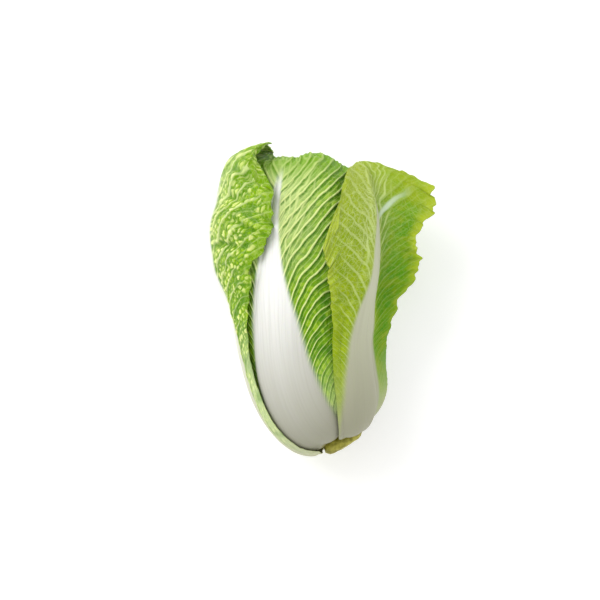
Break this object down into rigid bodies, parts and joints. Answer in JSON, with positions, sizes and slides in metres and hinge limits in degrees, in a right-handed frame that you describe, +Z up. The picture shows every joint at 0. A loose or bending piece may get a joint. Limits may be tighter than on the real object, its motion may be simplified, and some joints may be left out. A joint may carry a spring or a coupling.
{
  "type": "napa cabbage",
  "caption": "Whole head of napa cabbage lying on its side: wide white ribs, waved pale green leaves wrapped in a spiral, a leaf flaring out, and a cut stem end.",
  "frame": {"origin": "on the ground under the middle of the head's outline as it lies", "axes": "+Z up from the ground it lies on, +Y along the head from the cut stem to the leaf tips, +X towards the side on which a leaf flares out"},
  "size_m": [0.2214, 0.2986, 0.1526],
  "materials": {
    "outer_leaf": "living leaf, satin, white at the rib and green at the edge",
    "inner_leaf": "paler leaf, satin, white at the rib",
    "heart_leaf": "pale yellow crisp leaf, satin",
    "stem": "cut and dried stem, matt"
  },
  "bodies": {
    "root": {"leaf_01_left": "outer_leaf", "leaf_02_right": "outer_leaf", "leaf_03_under": "outer_leaf", "leaf_04_front": "outer_leaf", "leaf_05_flank": "outer_leaf", "leaf_06_inner": "inner_leaf", "leaf_07_inner": "inner_leaf", "leaf_08_inner": "inner_leaf", "leaf_09_inner": "inner_leaf", "leaf_10_inner": "inner_leaf", "heart": "heart_leaf", "cut_stem": "stem"}
  },
  "joints": []
}
